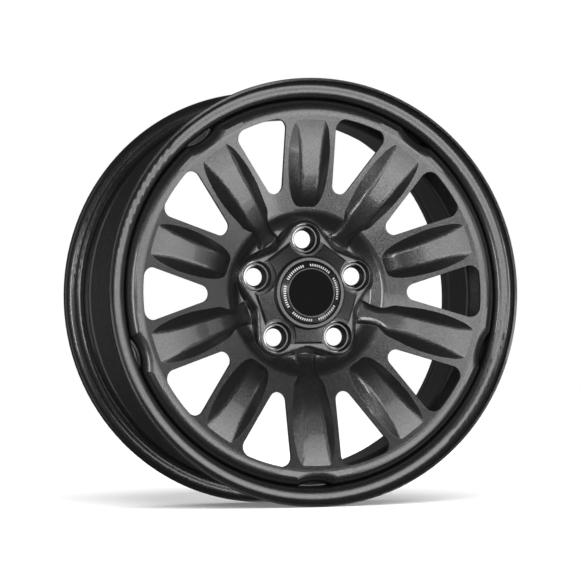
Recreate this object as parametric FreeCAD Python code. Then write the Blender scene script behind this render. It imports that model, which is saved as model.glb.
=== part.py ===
"""Steel car wheel: a rolled 6.5J x 16 rim, a pressed ten-spoke disc welded under its outer bead
seat, and a snap-in nave cap. The axle runs along Y, the outer face looks to -Y, and Z is up.
"""

import FreeCAD, Part
import math
import os

V = FreeCAD.Vector

# Every length is in millimetres and every angle in degrees. "Out" is the distance from the rim's
# middle plane towards the outer face, so a point given as (radius, out) lies at y = -out.

# Rim: tyre-side contour and sheet
RIM_WIDTH = 165.1
BEAD_SEAT_DIAMETER = 405.6
BEAD_SEAT_WIDTH = 20.0
BEAD_SEAT_TAPER = 5.0
FLANGE_HEIGHT = 17.3
FLANGE_CURL_RADIUS = 9.5
FLANGE_LIP = 13.0
FLANGE_FOOT_RADIUS = 6.0
HUMP_HEIGHT = 1.6
HUMP_WIDTH = 8.0
HUMP_BEND = 4.0
WELL_DIAMETER = 372.0
WELL_OUTER_EDGE = 40.0
WELL_INNER_EDGE = -9.0
WELL_BEND = 8.0
RIM_SHEET = 2.6
VALVE_HOLE_DIAMETER = 11.3
VALVE_ANGLE = 216.0

# Disc: pressed sheet, its dished profile and its fit under the bead seat
DISC_SHEET = 4.0
DISC_CLEARANCE = 0.15
WHEEL_OFFSET = 46.0
RING_OUT = 90.0
RING_SLOPE = 11.0
RING_ROLL_RADIUS = 12.0
WEB_OUTER_RADIUS = 182.5
WEB_SLOPE = 14.75
WEB_INNER_RADIUS = 84.5
FLOOR_RADIUS = 70.0
WEB_BEND_RADIUS = 16.0
TROUGH_RADIUS = 12.0
BEND_RADIUS = 3.0
SKIRT_LENGTH = 26.5

# Disc: openings between the spokes, and flutes in the skirt
WINDOW_OUTER_RADIUS = 182.0
WINDOW_SIDE_OFFSET = 27.0
WINDOW_OUTER_CORNER = 10.0
WINDOW_INNER_CORNER = 9.0
FLUTE_RADIUS = 47.0
FLUTE_DEPTH = 6.0
FLUTE_FLARE_RISE = 0.4

# Spokes: stations of (radius, crown set back from RING_OUT, crown width, foot width)
SPOKE_OUTER_STATIONS = (
    (184.0, 5.1, 31.0, 35.0),
    (178.0, 4.7, 30.5, 35.0),
    (169.0, 4.5, 27.5, 39.5),
    (160.0, 4.9, 24.5, 43.0),
    (150.0, 6.0, 22.5, 45.5),
    (138.0, 8.0, 21.0, 46.0),
    (120.0, 11.9, 20.0, 43.0),
    (104.0, 17.3, 19.0, 37.0),
)
SPOKE_BOLT_STATIONS = (
    (94.0, 23.5, 17.0, 29.0),
    (85.0, 32.0, 15.0, 25.0),
)
SPOKE_VALLEY_STATIONS = (
    (92.0, 22.5, 18.0, 31.0),
    (80.0, 29.0, 17.0, 29.0),
    (68.0, 36.5, 15.0, 25.0),
    (60.0, 42.0, 13.0, 22.0),
)
SPOKE_SHOULDER_RADIUS = 9.0
SPOKE_LEAST_RISE = 1.0
SPOKE_ROOT_DEPTH = 5.0

# Nave of the disc: raised lobes round the bolts, bolt seats and centre collar
BOLT_COUNT = 5
FIRST_BOLT_ANGLE = 90.0
BOLT_CIRCLE_DIAMETER = 112.0
NAVE_RISE = 9.0
LOBE_RADIUS = 19.5
LOBE_FLARE = 3.0
SCALLOP_RADIUS = 15.5
SCALLOP_INNER_RADIUS = 55.5
SCALLOP_FLARE = 6.0
NAVE_EDGE_RADIUS = 5.0
BOLT_HOLE_DIAMETER = 18.4
BOLT_LAND = 2.0
BOLT_SEAT_DIAMETER = 25.0
BOLT_BALL_RADIUS = 13.0
BOLT_POCKET_FLOOR_DIAMETER = 28.0
BOLT_POCKET_DIAMETER = 32.4
HUB_BORE_DIAMETER = 57.1
HUB_BORE_LENGTH = 10.0
COLLAR_HEIGHT = 17.0
COLLAR_WALL = 5.5
HUB_RING_WIDTH = 10.0
CAP_BORE_DIAMETER = 60.4
SNAP_GROOVE_RISE = 2.5
SNAP_GROOVE_WIDTH = 2.4
SNAP_GROOVE_DEPTH = 1.0

# Welds between the skirt's rear edge and the rim
WELD_LEG = 4.0
WELD_SPAN = 52.0

# Nave cap: moulded plastic, five-sided, with a stepped bite round each bolt
CAP_WALL = 2.5
CAP_SEAT_GAP = 0.1
CAP_APOTHEM = 52.6
CAP_SIDE_DRAFT = 3.0
CAP_EDGE_HEIGHT = 4.5
CAP_EDGE_RADIUS = 3.0
CAP_SLOPE = 15.0
CAP_BITE_DIAMETER = 38.0
CAP_BITE_STEP_COUNT = 2
CAP_BITE_STEP_WIDTH = 1.1
CAP_BITE_STEP_DEPTH = 1.6
CAP_BOSS_DIAMETER = 75.8
CAP_BOSS_HEIGHT = 5.6
CAP_BOSS_BEVEL = 1.8
CAP_LEG_COUNT = 6
CAP_LEG_SPAN = 26.0
CAP_LEG_WALL = 2.2
CAP_LEG_CLEARANCE = 0.2
CAP_LEG_TIP_GAP = 0.6
CAP_BARB_CLEARANCE = 0.3
SPRING_WIRE_DIAMETER = 1.8
SPRING_SEAT_DEPTH = 0.4

# Badge insert in the cap's boss, and the plain disc on it
INSERT_DIAMETER = 65.8
INSERT_CLEARANCE = 0.15
INSERT_EDGE_HEIGHT = 4.6
INSERT_EDGE_BEVEL = 1.2
INSERT_CROWN_HEIGHT = 2.4
INSERT_CROWN_RIM = 1.0
BADGE_DIAMETER = 48.2
BADGE_CLEARANCE = 0.1
BADGE_THICKNESS = 1.0
BADGE_RECESS = 0.7
BADGE_EDGE_RADIUS = 0.25

# Sizes worked out from the ones above
CENTRE = V(0, 0, 0)
AXLE = V(0, 1, 0)
OUTWARD = V(0, -1, 0)
FAR_IN = 20.0
FAR_OUT = 120.0
BEAD_SEAT_RADIUS = BEAD_SEAT_DIAMETER / 2
FLANGE_OUT = RIM_WIDTH / 2
FLANGE_RADIUS = BEAD_SEAT_RADIUS + FLANGE_HEIGHT
SEAT_FALL = math.tan(math.radians(BEAD_SEAT_TAPER))
WELL_RADIUS = WELL_DIAMETER / 2
SPOKE_PITCH = 180.0 / BOLT_COUNT
BOLT_ANGLES = [FIRST_BOLT_ANGLE + index * 2 * SPOKE_PITCH for index in range(BOLT_COUNT)]
VALLEY_ANGLES = [angle + SPOKE_PITCH for angle in BOLT_ANGLES]
WINDOW_ANGLES = [angle + SPOKE_PITCH / 2 for angle in BOLT_ANGLES + VALLEY_ANGLES]
BOLT_RADIUS = BOLT_CIRCLE_DIAMETER / 2
SKIRT_END_OUT = RING_OUT - SKIRT_LENGTH
FLOOR_OUT = WHEEL_OFFSET + DISC_SHEET
NAVE_OUT = FLOOR_OUT + NAVE_RISE
HUB_BORE_OUT = WHEEL_OFFSET + HUB_BORE_LENGTH
COLLAR_OUT = WHEEL_OFFSET + COLLAR_HEIGHT
COLLAR_RADIUS = HUB_BORE_DIAMETER / 2 + COLLAR_WALL
CAP_BORE_RADIUS = CAP_BORE_DIAMETER / 2
GROOVE_IN = HUB_BORE_OUT + SNAP_GROOVE_RISE
GROOVE_OUT = GROOVE_IN + SNAP_GROOVE_WIDTH
CAP_BASE_OUT = NAVE_OUT + CAP_SEAT_GAP
CAP_EDGE_OUT = CAP_BASE_OUT + CAP_EDGE_HEIGHT
INSERT_RADIUS = INSERT_DIAMETER / 2
LEG_OUTER_RADIUS = CAP_BORE_RADIUS - CAP_LEG_CLEARANCE
LEG_INNER_RADIUS = LEG_OUTER_RADIUS - CAP_LEG_WALL


# Helpers

def at(radius, out):
    """Point of a turned profile, in the plane through the axle and +X."""
    return V(radius, -out, 0)


def polar(radius, angle, out=0.0):
    """Point at an angle round the axle, anticlockwise from +X as seen from the outer face."""
    turned_angle = math.radians(angle)
    return V(radius * math.cos(turned_angle), -out, radius * math.sin(turned_angle))


def rounded_path(corners, place, closed=False):
    """Edges through (a, b, radius) corners, each corner rounded by an arc of its radius."""
    count = len(corners)
    runs = []
    for index, (a, b, radius) in enumerate(corners):
        corner = V(a, b, 0)
        if radius == 0:
            runs.append((corner, None, corner))
            continue
        back = (V(*corners[index - 1][:2], 0) - corner).normalize()
        ahead = (V(*corners[(index + 1) % count][:2], 0) - corner).normalize()
        half_angle = back.getAngle(ahead) / 2
        reach = radius / math.tan(half_angle)
        inward = (back + ahead).normalize()
        middle = corner + inward * (radius / math.sin(half_angle) - radius)
        runs.append((corner + back * reach, middle, corner + ahead * reach))
    edges = []
    for index, (start, middle, end) in enumerate(runs):
        if middle is not None:
            edges.append(Part.Arc(place(start), place(middle), place(end)).toShape())
        following = runs[(index + 1) % count][0]
        if (index + 1 < count or closed) and not end.isEqual(following, 1e-6):
            edges.append(Part.makeLine(place(end), place(following)))
    return edges


def profile_wire(corners, closed=True):
    """Wire through (radius, out, corner radius) corners in the plane of a turned profile."""
    return Part.Wire(rounded_path(corners, lambda flat: at(flat.x, flat.y), closed))


def turned(corners, span=360):
    """Solid turned about the axle from a closed profile, centred on the +X side."""
    solid = Part.Face(profile_wire(corners)).revolve(CENTRE, OUTWARD, span)
    return turn(solid, -span / 2)


def turn(shape, angle):
    """Copy of a shape turned about the axle, anticlockwise as seen from the outer face."""
    copy = shape.copy()
    copy.rotate(CENTRE, OUTWARD, angle)
    return copy


def at_bolts(shape):
    """Copies of a shape made about the axle, moved to each bolt's axis."""
    moved = shape.translated(V(BOLT_RADIUS, 0, 0))
    return [turn(moved, angle) for angle in BOLT_ANGLES]


def cylinder(radius, from_out, to_out):
    return Part.makeCylinder(radius, to_out - from_out, at(0, from_out), OUTWARD)


def upright(edge):
    """Whether an edge is straight and runs along the axle."""
    ends = edge.Vertexes
    return abs(ends[0].Y - ends[-1].Y) > edge.Length - 1e-6


def lies_at(edge, out):
    """Whether both ends of an edge lie in the plane at this out."""
    return all(abs(vertex.Y + out) < 1e-6 for vertex in edge.Vertexes)


# Rim

def seat_radius(out):
    """Tyre-side radius of the tapered outer bead seat."""
    return BEAD_SEAT_RADIUS - (FLANGE_OUT - out) * SEAT_FALL


def seat_inside_radius(out):
    """Radius of the sheet's inner side under the outer bead seat."""
    return seat_radius(out) - RIM_SHEET / math.cos(math.radians(BEAD_SEAT_TAPER))


def half_contour():
    """Tyre-side corners of one half, from the flange lip over the bead seat to the hump's foot."""
    curl_centre = FLANGE_RADIUS - FLANGE_CURL_RADIUS
    past_crest = FLANGE_LIP - FLANGE_CURL_RADIUS
    lip_rise = math.sqrt(FLANGE_CURL_RADIUS ** 2 - past_crest ** 2)
    lip_radius = curl_centre + lip_rise
    curl_corner = lip_radius + FLANGE_LIP * past_crest / lip_rise
    seat_end = FLANGE_OUT - BEAD_SEAT_WIDTH
    hump_crest = seat_end - HUMP_WIDTH / 2
    hump_foot = seat_end - HUMP_WIDTH
    return [
        (lip_radius, FLANGE_OUT + FLANGE_LIP, 0),
        (curl_corner, FLANGE_OUT, FLANGE_CURL_RADIUS),
        (BEAD_SEAT_RADIUS, FLANGE_OUT, FLANGE_FOOT_RADIUS),
        (seat_radius(seat_end), seat_end, HUMP_BEND),
        (seat_radius(hump_crest) + HUMP_HEIGHT, hump_crest, HUMP_BEND),
        (seat_radius(hump_foot), hump_foot, HUMP_BEND),
    ]


def make_rim():
    outer_half = half_contour()
    inner_half = [(radius, -out, bend) for radius, out, bend in reversed(outer_half)]
    well = [(WELL_RADIUS, WELL_OUTER_EDGE, WELL_BEND), (WELL_RADIUS, WELL_INNER_EDGE, WELL_BEND)]
    contour = profile_wire(outer_half + well + inner_half, closed=False)
    section = contour.makeOffset2D(-RIM_SHEET, fill=True, openResult=True)
    return section.revolve(CENTRE, AXLE, 360).Solids[0].cut(make_valve_drill())


def make_valve_drill():
    """Cutter for the valve hole, square to the slope between the outer hump and the well."""
    top_radius, top_out, bend = half_contour()[-1]
    top = at(top_radius, top_out)
    foot = at(WELL_RADIUS, WELL_OUTER_EDGE)
    along = (top - foot).normalize()
    square = V(-along.y, along.x, 0)
    middle = (top + foot) * 0.5
    reach = square * (4 * RIM_SHEET)
    drill = Part.makeCylinder(VALVE_HOLE_DIAMETER / 2, 2 * reach.Length, middle - reach, square)
    return turn(drill, VALVE_ANGLE)


# Disc

def skirt_radius(out):
    """Outside radius of the disc's skirt, which seats under the rim's outer bead seat."""
    return seat_inside_radius(out) - DISC_CLEARANCE


def ring_out(radius):
    """Out of the disc's outer ring at a radius, before its edge rolls over into the skirt."""
    return RING_OUT - (skirt_radius(RING_OUT) - radius) * math.tan(math.radians(RING_SLOPE))


def web_out(radius):
    """Out of the disc's conical web at a radius."""
    fall = (WEB_OUTER_RADIUS - radius) * math.tan(math.radians(WEB_SLOPE))
    return ring_out(WEB_OUTER_RADIUS) - fall


def make_dish(inset):
    """Solid behind the dished face; the rear side is the same form set in by the sheet."""
    face = Part.Face(profile_wire([
        (0, FAR_IN, 0),
        (skirt_radius(FAR_IN), FAR_IN, 0),
        (skirt_radius(RING_OUT), RING_OUT, RING_ROLL_RADIUS),
        (WEB_OUTER_RADIUS, web_out(WEB_OUTER_RADIUS), WEB_BEND_RADIUS),
        (WEB_INNER_RADIUS, web_out(WEB_INNER_RADIUS), WEB_BEND_RADIUS),
        (FLOOR_RADIUS, FLOOR_OUT, TROUGH_RADIUS),
        (0, FLOOR_OUT, 0),
    ]))
    if inset:
        face = face.makeOffset2D(-inset)
    return face.revolve(CENTRE, AXLE, 360)


def make_flutes(inset):
    """Cutters for the hollows in the skirt, flared so that the rolled edge follows them."""
    roll = RING_ROLL_RADIUS - inset
    wall = FLUTE_RADIUS + inset
    foot = skirt_radius(RING_OUT) - FLUTE_DEPTH
    top = ring_out(foot - RING_ROLL_RADIUS) + FLUTE_FLARE_RISE - inset
    flute = turned([
        (0, FAR_IN - 1, 0),
        (wall, FAR_IN - 1, 0),
        (wall, top, roll),
        (wall + 2 * roll, top, 0),
        (wall + 2 * roll, FAR_OUT, 0),
        (0, FAR_OUT, 0),
    ])
    flute.translate(V(foot + FLUTE_RADIUS, 0, 0))
    return [turn(flute, angle) for angle in VALLEY_ANGLES]


def spoke_section(radius, set_back, crown_width, foot_width):
    """Cross-section of a spoke at one radius: flat crown, round shoulders, sloping flanks."""
    crown_out = RING_OUT - set_back
    ground = web_out(radius) if radius > WEB_INNER_RADIUS else FLOOR_OUT
    rise = max(crown_out - ground, SPOKE_LEAST_RISE)
    spread = (foot_width - crown_width) / 2 / rise
    half_crown = crown_width / 2
    half_root = half_crown + (rise + SPOKE_ROOT_DEPTH) * spread
    root_out = crown_out - rise - SPOKE_ROOT_DEPTH
    corners = [
        (-half_root, root_out, 0),
        (-half_crown, crown_out, SPOKE_SHOULDER_RADIUS),
        (half_crown, crown_out, SPOKE_SHOULDER_RADIUS),
        (half_root, root_out, 0),
    ]
    return Part.Wire(rounded_path(corners, lambda flat: V(radius, -flat.y, flat.x), closed=True))


def make_spokes():
    """Ten solid spokes: five end above the bolts, and five run down between them."""
    spokes = []
    families = ((SPOKE_BOLT_STATIONS, BOLT_ANGLES), (SPOKE_VALLEY_STATIONS, VALLEY_ANGLES))
    for inner_stations, angles in families:
        sections = [spoke_section(*station) for station in SPOKE_OUTER_STATIONS + inner_stations]
        spoke = Part.makeLoft(sections, True, False)
        spokes += [turn(spoke, angle) for angle in angles]
    return spokes


def cross_tangent(lobe, lobe_radius, scallop, scallop_radius, side):
    """Touching points, on a lobe and on a scallop, of the line that crosses between them."""
    line = scallop - lobe
    lean = math.degrees(math.acos((lobe_radius + scallop_radius) / line.Length))
    normal = FreeCAD.Rotation(OUTWARD, side * lean).multVec(line).normalize()
    return lobe + normal * lobe_radius, scallop - normal * scallop_radius


def lobed_outline(lobe_radius, scallop_radius, out):
    """Closed outline of a lobe round each bolt, with a round scallop between each two."""
    scallop_centre = SCALLOP_INNER_RADIUS + SCALLOP_RADIUS
    edges = []
    for angle in BOLT_ANGLES:
        lobe = polar(BOLT_RADIUS, angle, out)
        before = polar(scallop_centre, angle - SPOKE_PITCH, out)
        after = polar(scallop_centre, angle + SPOKE_PITCH, out)
        following = polar(BOLT_RADIUS, angle + 2 * SPOKE_PITCH, out)
        lobe_start = cross_tangent(lobe, lobe_radius, before, scallop_radius, 1)[0]
        lobe_end, dip_start = cross_tangent(lobe, lobe_radius, after, scallop_radius, -1)
        next_start, dip_end = cross_tangent(following, lobe_radius, after, scallop_radius, 1)
        lobe_top = polar(BOLT_RADIUS + lobe_radius, angle, out)
        dip_foot = polar(scallop_centre - scallop_radius, angle + SPOKE_PITCH, out)
        edges += [
            Part.Arc(lobe_start, lobe_top, lobe_end).toShape(),
            Part.makeLine(lobe_end, dip_start),
            Part.Arc(dip_start, dip_foot, dip_end).toShape(),
            Part.makeLine(dip_end, next_start),
        ]
    return Part.Wire(edges)


def make_nave():
    """Raised five-lobed platform with flared walls and a rounded upper edge."""
    root = lobed_outline(LOBE_RADIUS + LOBE_FLARE, SCALLOP_RADIUS - SCALLOP_FLARE, FLOOR_OUT)
    top = lobed_outline(LOBE_RADIUS, SCALLOP_RADIUS, NAVE_OUT)
    nave = Part.makeLoft([root, top], True, True)
    return nave.makeFillet(NAVE_EDGE_RADIUS, [edge for edge in nave.Edges if lies_at(edge, NAVE_OUT)])


def make_nave_hollow():
    """Spaces behind the platform, clear of the hub ring and of a pad at each bolt."""
    top = NAVE_OUT - DISC_SHEET
    pad = cylinder(BOLT_POCKET_DIAMETER / 2 + DISC_SHEET, FAR_IN, top)
    hollow = cylinder(SCALLOP_INNER_RADIUS - DISC_SHEET, FAR_IN, top)
    hub_ring = cylinder(HUB_BORE_DIAMETER / 2 + HUB_RING_WIDTH, FAR_IN, top)
    hollow = hollow.cut([hub_ring] + at_bolts(pad))
    return hollow.makeFillet(BEND_RADIUS, [edge for edge in hollow.Edges if upright(edge)])


def make_windows():
    """Cutters for the openings, whose sides run beside the two spokes next to them."""
    half_pitch = SPOKE_PITCH / 2
    tip = at(WINDOW_SIDE_OFFSET / math.sin(math.radians(half_pitch)), FAR_IN)
    spread = half_pitch - math.degrees(math.asin(WINDOW_SIDE_OFFSET / WINDOW_OUTER_RADIUS))
    left, middle, right = [polar(WINDOW_OUTER_RADIUS, angle, FAR_IN) for angle in (-spread, 0, spread)]
    outline = Part.Wire([
        Part.makeLine(tip, left),
        Part.Arc(left, middle, right).toShape(),
        Part.makeLine(right, tip),
    ])
    window = Part.Face(outline).extrude(OUTWARD * (FAR_OUT - FAR_IN))
    inner = min(filter(upright, window.Edges), key=lambda edge: edge.CenterOfMass.x)
    window = window.makeFillet(WINDOW_INNER_CORNER, [inner])
    outer = sorted(filter(upright, window.Edges), key=lambda edge: abs(edge.CenterOfMass.z))[-2:]
    window = window.makeFillet(WINDOW_OUTER_CORNER, outer)
    return [turn(window, angle) for angle in WINDOW_ANGLES]


def make_bolt_seats():
    """Cutters for the bolt holes, each with a ball seat at the foot of a round pocket."""
    hole = BOLT_HOLE_DIAMETER / 2
    seat = BOLT_SEAT_DIAMETER / 2
    land_out = WHEEL_OFFSET + BOLT_LAND
    hole_lean = math.asin(hole / BOLT_BALL_RADIUS)
    seat_lean = math.asin(seat / BOLT_BALL_RADIUS)
    ball_out = land_out + BOLT_BALL_RADIUS * math.cos(hole_lean)
    seat_out = ball_out - BOLT_BALL_RADIUS * math.cos(seat_lean)
    corner_lean = (hole_lean + seat_lean) / 2
    corner_reach = BOLT_BALL_RADIUS / math.cos((seat_lean - hole_lean) / 2)
    corner_radius = corner_reach * math.sin(corner_lean)
    corner_out = ball_out - corner_reach * math.cos(corner_lean)
    return at_bolts(turned([
        (0, FAR_IN, 0),
        (hole, FAR_IN, 0),
        (hole, land_out, 0),
        (corner_radius, corner_out, BOLT_BALL_RADIUS),
        (seat, seat_out, 0),
        (BOLT_POCKET_FLOOR_DIAMETER / 2, seat_out, 0),
        (BOLT_POCKET_DIAMETER / 2, NAVE_OUT, 0),
        (BOLT_POCKET_DIAMETER / 2, FAR_OUT, 0),
        (0, FAR_OUT, 0),
    ]))


def make_centre_bore():
    """Cutter for the hub bore and, in front of it, the cap's wider bore with a snap groove."""
    hub = HUB_BORE_DIAMETER / 2
    groove = CAP_BORE_RADIUS + SNAP_GROOVE_DEPTH
    return turned([
        (0, FAR_IN, 0),
        (hub, FAR_IN, 0),
        (hub, HUB_BORE_OUT, 0),
        (CAP_BORE_RADIUS, HUB_BORE_OUT, 0),
        (CAP_BORE_RADIUS, GROOVE_IN, 0),
        (groove, GROOVE_IN, 0),
        (groove, GROOVE_OUT, 0),
        (CAP_BORE_RADIUS, GROOVE_OUT, 0),
        (CAP_BORE_RADIUS, FAR_OUT, 0),
        (0, FAR_OUT, 0),
    ])


def make_disc():
    """Pressed sheet: the front form less the rear form, trimmed behind, then pierced."""
    spokes = make_spokes()
    rear_spokes = [spoke.translated(AXLE * DISC_SHEET) for spoke in spokes]
    front = make_dish(0).fuse(spokes + [make_nave()]).cut(make_flutes(0))
    rear = make_dish(DISC_SHEET).fuse(rear_spokes).cut(make_flutes(DISC_SHEET))
    skirt_foot = WEB_OUTER_RADIUS - RING_ROLL_RADIUS
    behind_hub = cylinder(skirt_foot, FAR_IN - 1, WHEEL_OFFSET)
    behind_skirt = cylinder(FLANGE_RADIUS, FAR_IN - 1, SKIRT_END_OUT)
    behind_skirt = behind_skirt.cut(cylinder(skirt_foot, FAR_IN - 2, SKIRT_END_OUT + 1))
    sheet = front.cut(rear).cut([behind_hub, behind_skirt, make_nave_hollow()])
    sheet = sheet.fuse(cylinder(COLLAR_RADIUS, WHEEL_OFFSET, COLLAR_OUT))
    return sheet.cut([make_centre_bore()] + make_bolt_seats() + make_windows())


# Welds

def make_welds(rim):
    """Fillet welds between the skirt's rear edge and the rim, one between each two flutes."""
    rim_wall = seat_inside_radius(SKIRT_END_OUT)
    buried = rim_wall + RIM_SHEET / 2
    bead = turned([
        (buried, SKIRT_END_OUT, 0),
        (buried, SKIRT_END_OUT - WELD_LEG, 0),
        (rim_wall, SKIRT_END_OUT - WELD_LEG, 0),
        (rim_wall - WELD_LEG, SKIRT_END_OUT, 0),
    ], WELD_SPAN)
    return Part.makeCompound([turn(bead, angle).cut(rim).Solids[0] for angle in BOLT_ANGLES])


# Nave cap and badge

def cap_face_out(radius):
    """Out of the cap's sloping face at a radius."""
    return CAP_EDGE_OUT + (CAP_APOTHEM - radius) * math.tan(math.radians(CAP_SLOPE))


def pentagon(apothem, out):
    """Regular outline with a corner at each bolt."""
    corner = apothem / math.cos(math.radians(SPOKE_PITCH))
    points = [polar(corner, angle, out) for angle in BOLT_ANGLES]
    return Part.makePolygon(points + points[:1])


def make_bite(inset):
    """Stepped cutter that leaves room round a bolt."""
    corners = [(0, FAR_OUT, 0)]
    radius = CAP_BITE_DIAMETER / 2 + inset
    level = FAR_OUT
    for step in range(1, CAP_BITE_STEP_COUNT + 1):
        lower = CAP_EDGE_OUT - inset - step * CAP_BITE_STEP_DEPTH
        corners += [(radius, level, 0), (radius, lower, 0)]
        radius -= CAP_BITE_STEP_WIDTH
        level = lower
    corners += [(radius, level, 0), (radius, FAR_IN, 0), (0, FAR_IN, 0)]
    return turned(corners)


def make_cap_form(inset, base_out):
    """Closed form of the cap's face, sides and bites; the hollow is the same form set in."""
    lean = (FAR_OUT - base_out) * math.tan(math.radians(CAP_SIDE_DRAFT))
    base = pentagon(CAP_APOTHEM - inset, base_out)
    far = pentagon(CAP_APOTHEM - inset - lean, FAR_OUT)
    wide = 2 * CAP_APOTHEM
    face = turned([
        (0, FAR_IN, 0),
        (wide, FAR_IN, 0),
        (wide, cap_face_out(wide) - inset, 0),
        (INSERT_RADIUS, cap_face_out(INSERT_RADIUS) - inset, 0),
        (0, cap_face_out(INSERT_RADIUS) - inset, 0),
    ])
    sides = Part.makeLoft([base, far], True, True)
    return sides.common(face).cut(at_bolts(make_bite(inset)))


def make_boss():
    """Ring that frames the badge insert, with a bevelled outer edge."""
    outer = CAP_BOSS_DIAMETER / 2
    inner = INSERT_RADIUS + INSERT_CLEARANCE
    foot_out = cap_face_out(outer) - CAP_WALL
    top_out = cap_face_out(outer) + CAP_BOSS_HEIGHT
    return turned([
        (inner, foot_out, 0),
        (outer, foot_out, 0),
        (outer, top_out - CAP_BOSS_BEVEL, 0),
        (outer - CAP_BOSS_BEVEL, top_out, 0),
        (inner, top_out, 0),
    ])


def make_leg():
    """One snap leg under the cap's floor, with a barb that sits in the collar's groove."""
    ceiling = cap_face_out(INSERT_RADIUS) - CAP_WALL / 2
    tip = HUB_BORE_OUT + CAP_LEG_TIP_GAP
    barb_radius = CAP_BORE_RADIUS + SNAP_GROOVE_DEPTH - CAP_BARB_CLEARANCE
    barb_low = GROOVE_IN + CAP_BARB_CLEARANCE
    barb_high = GROOVE_OUT - CAP_BARB_CLEARANCE
    slope = barb_radius - LEG_OUTER_RADIUS
    return turned([
        (LEG_INNER_RADIUS, tip, 0),
        (LEG_OUTER_RADIUS, tip, 0),
        (LEG_OUTER_RADIUS, barb_low, 0),
        (barb_radius, barb_high - slope, 0),
        (barb_radius, barb_high, 0),
        (LEG_OUTER_RADIUS, barb_high, 0),
        (LEG_OUTER_RADIUS, ceiling, 0),
        (LEG_INNER_RADIUS, ceiling, 0),
    ], CAP_LEG_SPAN)


def make_spring():
    """Wire ring that presses the legs outwards, seated in a shallow groove inside them."""
    wire_radius = SPRING_WIRE_DIAMETER / 2
    ring_radius = LEG_INNER_RADIUS - wire_radius + SPRING_SEAT_DEPTH
    return Part.makeTorus(ring_radius, wire_radius, at(0, (GROOVE_IN + GROOVE_OUT) / 2), OUTWARD)


def crowns_cap_side(edge):
    """Whether an edge is one where the cap's face meets a side."""
    middle = edge.CenterOfMass
    near_side = math.hypot(middle.x, middle.z) > CAP_APOTHEM - CAP_BITE_STEP_WIDTH
    return near_side and all(
        abs(cap_face_out(math.hypot(end.X, end.Z)) + end.Y) < 1e-3 for end in edge.Vertexes
    )


def make_cap():
    outside = make_cap_form(0, CAP_BASE_OUT)
    outside = outside.makeFillet(CAP_EDGE_RADIUS, list(filter(crowns_cap_side, outside.Edges)))
    shell = outside.cut(make_cap_form(CAP_WALL, CAP_BASE_OUT - 1))
    legs = [turn(make_leg(), index * 360 / CAP_LEG_COUNT) for index in range(CAP_LEG_COUNT)]
    return shell.fuse([make_boss()] + legs).cut(make_spring())


def make_insert():
    """Round badge carrier: bevelled edge, sloping band and a raised, recessed centre."""
    floor_out = cap_face_out(INSERT_RADIUS)
    edge_out = floor_out + INSERT_EDGE_HEIGHT
    crown_out = edge_out + INSERT_CROWN_HEIGHT
    recess = BADGE_DIAMETER / 2 + BADGE_CLEARANCE
    return turned([
        (0, floor_out, 0),
        (INSERT_RADIUS, floor_out, 0),
        (INSERT_RADIUS, edge_out - INSERT_EDGE_BEVEL, 0),
        (INSERT_RADIUS - INSERT_EDGE_BEVEL, edge_out, 0),
        (recess + INSERT_CROWN_RIM, crown_out, 0),
        (recess, crown_out, 0),
        (recess, crown_out - BADGE_RECESS, 0),
        (0, crown_out - BADGE_RECESS, 0),
    ])


def make_badge():
    """Plain disc stuck in the insert's recess."""
    bottom = cap_face_out(INSERT_RADIUS) + INSERT_EDGE_HEIGHT + INSERT_CROWN_HEIGHT - BADGE_RECESS
    return turned([
        (0, bottom, 0),
        (BADGE_DIAMETER / 2, bottom, 0),
        (BADGE_DIAMETER / 2, bottom + BADGE_THICKNESS, BADGE_EDGE_RADIUS),
        (0, bottom + BADGE_THICKNESS, 0),
    ])


# Output

def main():
    os.makedirs("parts", exist_ok=True)
    rim = make_rim()
    pieces = {
        "rim": rim,
        "wheel_disc": make_disc(),
        "disc_welds": make_welds(rim),
        "nave_cap": make_cap(),
        "cap_spring": make_spring(),
        "badge_insert": make_insert(),
        "badge_disc": make_badge(),
    }
    for name, shape in pieces.items():
        shape.exportStep(f"parts/{name}.step")


main()
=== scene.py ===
"""A pressed steel wheel on a pale studio floor, dressed over its CAD frame."""
import math

import bmesh
import bpy
from mathutils import Matrix, Vector


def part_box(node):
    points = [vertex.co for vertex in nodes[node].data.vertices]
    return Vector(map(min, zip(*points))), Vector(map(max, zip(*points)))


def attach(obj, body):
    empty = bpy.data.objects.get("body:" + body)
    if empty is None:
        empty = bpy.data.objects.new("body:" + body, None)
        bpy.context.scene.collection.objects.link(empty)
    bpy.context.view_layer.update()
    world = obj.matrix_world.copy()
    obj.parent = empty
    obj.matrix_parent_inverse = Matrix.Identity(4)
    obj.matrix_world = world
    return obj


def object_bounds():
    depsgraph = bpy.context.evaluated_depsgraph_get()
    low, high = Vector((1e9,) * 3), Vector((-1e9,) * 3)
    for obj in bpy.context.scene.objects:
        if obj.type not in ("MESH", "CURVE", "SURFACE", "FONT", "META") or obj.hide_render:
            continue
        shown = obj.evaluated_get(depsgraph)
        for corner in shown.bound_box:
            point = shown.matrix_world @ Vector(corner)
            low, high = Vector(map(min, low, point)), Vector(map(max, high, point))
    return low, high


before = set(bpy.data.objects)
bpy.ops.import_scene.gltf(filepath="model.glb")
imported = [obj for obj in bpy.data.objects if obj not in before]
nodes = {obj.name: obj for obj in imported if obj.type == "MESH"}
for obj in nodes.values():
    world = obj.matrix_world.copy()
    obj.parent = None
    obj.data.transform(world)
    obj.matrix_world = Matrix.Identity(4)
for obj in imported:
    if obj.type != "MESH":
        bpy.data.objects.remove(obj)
cad_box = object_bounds()

# Ticks on the badge's band, in metres, their pitch in degrees

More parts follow.
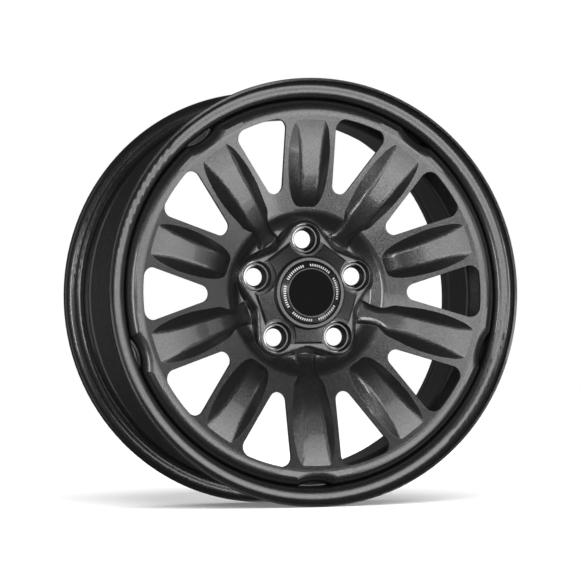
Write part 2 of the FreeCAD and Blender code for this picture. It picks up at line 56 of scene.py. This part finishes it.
TICK_GROUPS = 6
TICKS_PER_GROUP = 10
TICK_PITCH = 4.8
TICK_LENGTH = 0.0026
TICK_WIDTH = 0.0013
TICK_HEIGHT = 0.0003
TICK_BEVEL = 0.3 * TICK_HEIGHT
BAND_INNER_RADIUS = 0.0252
BAND_OUTER_RADIUS = 0.0317
BAND_DROP = 0.0024

# Paint: flakes per metre, and how far tone, lean and gloss run from place to place

FLAKE_SCALE = 1700.0
FLAKE_DARKEST = 0.70
FLAKE_SPREAD = 0.60
FLAKE_LEAN = 0.12
CLOUD_SCALE = 38.0
CLOUD_DARKEST = 0.95
CLOUD_SPREAD = 0.10
GLOSS_SPREAD = 0.04
PAINT_METALLIC = 0.96
COAT_WEIGHT = 0.45
COAT_ROUGHNESS = 0.08
EDGE_RADIUS = 0.0008
EDGE_SAMPLES = 6

# Camera, fitted to the photo: focal length in pixels, sensor in millimetres,
# angles in degrees, the rest in metres

IMAGE_WIDTH = 580
CAMERA_FOCAL = 3477
SENSOR_WIDTH = 36.0
CAMERA_DISTANCE = 3.650
CAMERA_YAW = 17.8
CAMERA_PITCH = -1.5
CAMERA_ROLL = 0.9
CAMERA_SIDE = -0.00112
CAMERA_RISE = -0.00492
CAMERA_REACH = 100.0

# Studio, in metres, with azimuths in degrees to the right of -Y

FLOOR_HEIGHT = cad_box[0].z
FLOOR_SIZE = 40.0
FLOOR_TONE = 0.9
FLOOR_LIFT = 0.12
ROOM_SIZE = 8.0
ROOM_WALLS = 24
ROOM_OPENINGS = ((-120.0, -105.0), (105.0, 150.0))
WALL_LEVEL = 0.06
SKY_AMBIENT = 0.3
LAMP_DISTANCE = 3.0

# Soft boxes: azimuth, elevation, width and height in degrees, then the level

SOFT_BOXES = {
    "upper_box": (15.5, 5.0, 41.0, 16.0, 3.3),
    "lower_box": (17.5, -12.0, 37.0, 18.0, 4.5),
    "low_box": (36.0, -25.5, 14.0, 15.0, 3.6),
    "side_box": (-16.0, 8.0, 22.0, 10.0, 5.2),
    "right_box": (52.0, 9.0, 14.0, 12.0, 2.0),
    "left_strip": (-42.0, 0.0, 7.0, 28.0, 15.0),
    "right_fill": (128.0, -8.0, 44.0, 50.0, 4.0),
    "low_back_fill": (138.0, -42.0, 26.0, 24.0, 2.5),
    "high_back_fill": (138.0, 42.0, 26.0, 24.0, 2.5),
}
FLOOR_LIGHT_AZIMUTH = -12.0
FLOOR_LIGHT_ELEVATION = 28.0
FLOOR_LIGHT_WIDTH = 40.0
FLOOR_LIGHT_LEVEL = 5.35


# Shader maths

class Value:
    """A number that runs through a finish, so that maths on it adds the nodes."""

    def __init__(self, finish, socket):
        self.finish = finish
        self.socket = socket

    def maths(self, operation, first, second):
        made = self.finish.node("ShaderNodeMath", {"operation": operation}, {0: first, 1: second})
        return Value(self.finish, made.outputs[0])

    def __add__(self, other):
        return self.maths("ADD", self, other)

    def __radd__(self, other):
        return self.maths("ADD", other, self)

    def __mul__(self, other):
        return self.maths("MULTIPLY", self, other)

    def __rmul__(self, other):
        return self.maths("MULTIPLY", other, self)

    def most(self, other):
        return self.maths("MAXIMUM", self, other)


class Finish:
    """One material's nodes, or the world's."""

    def __init__(self, holder):
        holder.use_nodes = True
        self.holder = holder
        self.tree = holder.node_tree
        self.tree.nodes.clear()

    def node(self, kind, settings, sockets):
        made = self.tree.nodes.new(kind)
        for name, setting in settings.items():
            setattr(made, name, setting)
        for name, value in sockets.items():
            self.feed(made.inputs[name], value)
        return made

    def feed(self, socket, value):
        if isinstance(value, Value):
            self.tree.links.new(value.socket, socket)
        elif isinstance(value, bpy.types.NodeSocket):
            self.tree.links.new(value, socket)
        else:
            socket.default_value = value

    def value(self, socket):
        return Value(self, socket)

    def place(self):
        return self.node("ShaderNodeTexCoord", {}, {}).outputs["Object"]

    def noise(self, place, scale, detail, roughness):
        made = self.node("ShaderNodeTexNoise", {}, {
            "Vector": place,
            "Scale": scale,
            "Detail": detail,
            "Roughness": roughness,
        })
        return self.value(made.outputs["Fac"])

    def blend(self, share, first, second):
        made = self.node("ShaderNodeMix", {"data_type": "RGBA"}, {0: share, 6: first, 7: second})
        return made.outputs[2]

    def close(self, shader):
        self.node("ShaderNodeOutputMaterial", {}, {"Surface": shader.outputs[0]})
        return self.holder


def grey(tone):
    return (tone, tone, tone, 1.0)


# Finishes

def flake_paint(name, tone, roughness):
    """Dark metallic paint: flakes that differ in tone and lean, under a smooth clear coat."""
    finish = Finish(bpy.data.materials.new(name))
    place = finish.place()
    flakes = finish.node("ShaderNodeTexVoronoi", {}, {"Vector": place, "Scale": FLAKE_SCALE})
    parts = finish.node("ShaderNodeSeparateColor", {}, {"Color": flakes.outputs["Color"]})
    glint = finish.value(parts.outputs[0])
    cloud = finish.noise(place, scale=CLOUD_SCALE, detail=3.0, roughness=0.55)
    shade = (FLAKE_DARKEST + FLAKE_SPREAD * glint) * (CLOUD_DARKEST + CLOUD_SPREAD * cloud)
    # A blend's share stops at 1, so half the shade runs over twice the tone
    colour = finish.blend(shade * 0.5, grey(0.0), grey(2.0 * tone))
    lean = finish.node("ShaderNodeVectorMath", {"operation": "SUBTRACT"}, {
        0: flakes.outputs["Color"],
        1: (0.5, 0.5, 0.5),
    })
    slight = finish.node("ShaderNodeVectorMath", {"operation": "SCALE"}, {
        0: lean.outputs[0],
        "Scale": FLAKE_LEAN,
    })
    edges = finish.node("ShaderNodeBevel", {"samples": EDGE_SAMPLES}, {"Radius": EDGE_RADIUS})
    tilted = finish.node("ShaderNodeVectorMath", {"operation": "ADD"}, {
        0: edges.outputs["Normal"],
        1: slight.outputs[0],
    })
    facing = finish.node("ShaderNodeVectorMath", {"operation": "NORMALIZE"}, {0: tilted.outputs[0]})
    return finish.close(finish.node("ShaderNodeBsdfPrincipled", {}, {
        "Base Color": colour,
        "Metallic": PAINT_METALLIC,
        "Roughness": (roughness - GLOSS_SPREAD / 2) + GLOSS_SPREAD * cloud,
        "Coat Weight": COAT_WEIGHT,
        "Coat Roughness": COAT_ROUGHNESS,
        "Normal": facing.outputs[0],
    }))


def black_satin(name):
    """Black moulded plastic with a dull skin and very faint mould flow."""
    finish = Finish(bpy.data.materials.new(name))
    flow = finish.noise(finish.place(), scale=160.0, detail=4.0, roughness=0.6)
    bump = finish.node("ShaderNodeBump", {}, {
        "Strength": 0.05,
        "Distance": 0.0002,
        "Height": flow,
    })
    return finish.close(finish.node("ShaderNodeBsdfPrincipled", {}, {
        "Base Color": finish.blend(flow, grey(0.0015), grey(0.003)),
        "Roughness": 0.45 + 0.1 * flow,
        "Specular IOR Level": 0.03,
        "Normal": bump.outputs[0],
    }))


def spring_steel(name):
    """Drawn wire, finely uneven in tone and gloss."""
    finish = Finish(bpy.data.materials.new(name))
    drawn = finish.noise(finish.place(), scale=700.0, detail=3.0, roughness=0.6)
    return finish.close(finish.node("ShaderNodeBsdfPrincipled", {}, {
        "Base Color": finish.blend(drawn, grey(0.28), grey(0.42)),
        "Metallic": 1.0,
        "Roughness": 0.28 + 0.16 * drawn,
    }))


def tick_print(name):
    """Grey print, slightly uneven."""
    finish = Finish(bpy.data.materials.new(name))
    uneven = finish.noise(finish.place(), scale=900.0, detail=3.0, roughness=0.6)
    return finish.close(finish.node("ShaderNodeBsdfPrincipled", {}, {
        "Base Color": finish.blend(uneven, grey(0.24), grey(0.46)),
        "Metallic": 0.3,
        "Roughness": 0.35 + 0.2 * uneven,
    }))


def dress(node, finish):
    nodes[node].data.materials.clear()
    nodes[node].data.materials.append(finish)


wheel_paint = flake_paint("anthracite_paint", tone=0.069, roughness=0.33)
cap_paint = flake_paint("cap_paint", tone=0.058, roughness=0.38)
insert_paint = flake_paint("insert_paint", tone=0.046, roughness=0.34)
dress("rim", wheel_paint)
dress("wheel_disc", wheel_paint)
dress("disc_welds", wheel_paint)
dress("nave_cap", cap_paint)
dress("badge_insert", insert_paint)
dress("badge_disc", black_satin("badge_black"))
dress("cap_spring", spring_steel("spring_steel"))


# New pieces

def show(name, mesh, finish):
    """A finished bmesh as a piece that rides with the wheel."""
    bmesh.ops.recalc_face_normals(mesh, faces=mesh.faces[:])
    data = bpy.data.meshes.new(name)
    mesh.to_mesh(data)
    mesh.free()
    data.materials.append(finish)
    piece = bpy.data.objects.new(name, data)
    bpy.context.scene.collection.objects.link(piece)
    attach(piece, "root")


def make_ticks():
    """Plain ticks round the badge's sloping band."""
    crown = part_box("badge_insert")[0].y
    middle = (BAND_INNER_RADIUS + BAND_OUTER_RADIUS) / 2
    slope = math.atan2(BAND_DROP, BAND_OUTER_RADIUS - BAND_INNER_RADIUS)
    size = Matrix.Diagonal((TICK_WIDTH, TICK_HEIGHT, TICK_LENGTH, 1.0))
    lean = Matrix.Rotation(-slope, 4, "X")
    spot = Matrix.Translation((0.0, crown + BAND_DROP / 2, middle))
    mesh = bmesh.new()
    bmesh.ops.create_cube(mesh, size=1.0, matrix=spot @ lean @ size)
    bmesh.ops.bevel(
        mesh,
        geom=mesh.edges[:],
        offset=TICK_BEVEL,
        affect="EDGES",
        segments=2,
        profile=0.5,
        material=-1,
    )
    for count, pitch in ((TICKS_PER_GROUP, TICK_PITCH), (TICK_GROUPS, 360 / TICK_GROUPS)):
        bmesh.ops.spin(
            mesh,
            geom=mesh.verts[:] + mesh.edges[:] + mesh.faces[:],
            cent=(0.0, 0.0, 0.0),
            axis=(0.0, 1.0, 0.0),
            angle=math.radians(pitch * (count - 1)),
            steps=count - 1,
            use_duplicate=True,
        )
    show("badge_ticks", mesh, tick_print("tick_print"))


make_ticks()


# Camera at the photo's place

def turn(degrees, axis):
    return Matrix.Rotation(math.radians(degrees), 3, axis)


def set_camera():
    view = turn(-CAMERA_ROLL, "Y") @ turn(CAMERA_PITCH, "X") @ turn(CAMERA_YAW, "Z")
    spot = -(view.transposed() @ Vector((CAMERA_SIDE, CAMERA_DISTANCE, CAMERA_RISE)))
    axes = Matrix((view[0], view[2], -view[1])).transposed()
    data = bpy.data.cameras.new("camera")
    data.sensor_width = SENSOR_WIDTH
    data.lens = CAMERA_FOCAL * SENSOR_WIDTH / IMAGE_WIDTH
    data.clip_end = CAMERA_REACH
    camera = bpy.data.objects.new("camera", data)
    camera.matrix_world = Matrix.Translation(spot) @ axes.to_4x4()
    bpy.context.scene.collection.objects.link(camera)
    bpy.context.scene.camera = camera


set_camera()


# Studio

def stand(name, mesh, finish):
    """A finished bmesh as a part of the studio."""
    data = bpy.data.meshes.new(name)
    mesh.to_mesh(data)
    mesh.free()
    data.materials.append(finish)
    thing = bpy.data.objects.new(name, data)
    bpy.context.scene.collection.objects.link(thing)
    return thing


def pale_floor():
    """Matt white that glows a little, so that the shadow stays pale."""
    finish = Finish(bpy.data.materials.new("pale_floor"))
    matt = finish.node("ShaderNodeBsdfDiffuse", {}, {"Color": grey(FLOOR_TONE)})
    lift = finish.node("ShaderNodeEmission", {}, {"Strength": FLOOR_LIFT})
    return finish.close(finish.node("ShaderNodeAddShader", {}, {0: matt.outputs[0], 1: lift.outputs[0]}))


def dark_wall():
    """An even dark grey that needs no light."""
    finish = Finish(bpy.data.materials.new("dark_wall"))
    return finish.close(finish.node("ShaderNodeEmission", {}, {"Strength": WALL_LEVEL}))


def make_floor():
    """Pale floor that catches the wheel's shadow and stays out of its reflections."""
    mesh = bmesh.new()
    bmesh.ops.create_grid(mesh, size=FLOOR_SIZE / 2, matrix=Matrix.Translation((0.0, 0.0, FLOOR_HEIGHT)))
    floor = stand("floor", mesh, pale_floor())
    floor.visible_glossy = False
    floor.visible_shadow = False


def in_opening(face):
    """Whether a wall of the dark room stands where the white background is to show."""
    centre = face.calc_center_median()
    if centre.xy.length < ROOM_SIZE / 4:
        return False
    azimuth = math.degrees(math.atan2(centre.x, -centre.y))
    return any(low < azimuth < high for low, high in ROOM_OPENINGS)


def make_dark_room():
    """Dark walls that only reflections see, open to the white background at both sides of the back."""
    mesh = bmesh.new()
    bmesh.ops.create_cone(
        mesh,
        cap_ends=True,
        segments=ROOM_WALLS,
        radius1=ROOM_SIZE / 2,
        radius2=ROOM_SIZE / 2,
        depth=ROOM_SIZE,
    )
    bmesh.ops.delete(mesh, geom=[face for face in mesh.faces if in_opening(face)], context="FACES")
    room = stand("dark_room", mesh, dark_wall())
    room.visible_camera = False
    room.visible_diffuse = False
    room.visible_transmission = False
    room.visible_shadow = False


def soft_box(name, azimuth, elevation, wide, high, level):
    """A soft box that fills the given angles and glows at the given level."""
    swing = turn(azimuth, "Z") @ turn(-elevation, "X")
    data = bpy.data.lights.new(name, "AREA")
    data.shape = "RECTANGLE"
    data.size = 2 * LAMP_DISTANCE * math.tan(math.radians(wide / 2))
    data.size_y = 2 * LAMP_DISTANCE * math.tan(math.radians(high / 2))
    data.energy = level * math.pi * data.size * data.size_y
    lamp = bpy.data.objects.new(name, data)
    spot = swing @ Vector((0.0, -LAMP_DISTANCE, 0.0))
    lamp.matrix_world = Matrix.Translation(spot) @ (swing @ turn(90, "X")).to_4x4()
    lamp.visible_camera = False
    bpy.context.scene.collection.objects.link(lamp)


def make_floor_light():
    """A broad even light for the floor and its shadow, which the paint does not mirror."""
    data = bpy.data.lights.new("floor_light", "SUN")
    data.angle = math.radians(FLOOR_LIGHT_WIDTH)
    data.energy = FLOOR_LIGHT_LEVEL
    lamp = bpy.data.objects.new("floor_light", data)
    swing = turn(FLOOR_LIGHT_AZIMUTH, "Z") @ turn(90 - FLOOR_LIGHT_ELEVATION, "X")
    lamp.matrix_world = swing.to_4x4()
    lamp.visible_camera = False
    lamp.visible_glossy = False
    bpy.context.scene.collection.objects.link(lamp)


def make_sky():
    """White where the camera, metal or glass sees it, and dimmer as a light."""
    world = bpy.data.worlds.new("studio")
    bpy.context.scene.world = world
    finish = Finish(world)
    path = finish.node("ShaderNodeLightPath", {}, {}).outputs
    seen = finish.value(path["Is Camera Ray"])
    seen = seen.most(path["Is Glossy Ray"]).most(path["Is Transmission Ray"])
    sky = finish.node("ShaderNodeBackground", {}, {
        "Color": grey(1.0),
        "Strength": SKY_AMBIENT + (1.0 - SKY_AMBIENT) * seen,
    })
    finish.node("ShaderNodeOutputWorld", {}, {"Surface": sky.outputs[0]})


make_floor()
make_dark_room()
for box_name, box in SOFT_BOXES.items():
    soft_box(box_name, *box)
make_floor_light()
make_sky()
bpy.context.scene.view_settings.view_transform = "Standard"
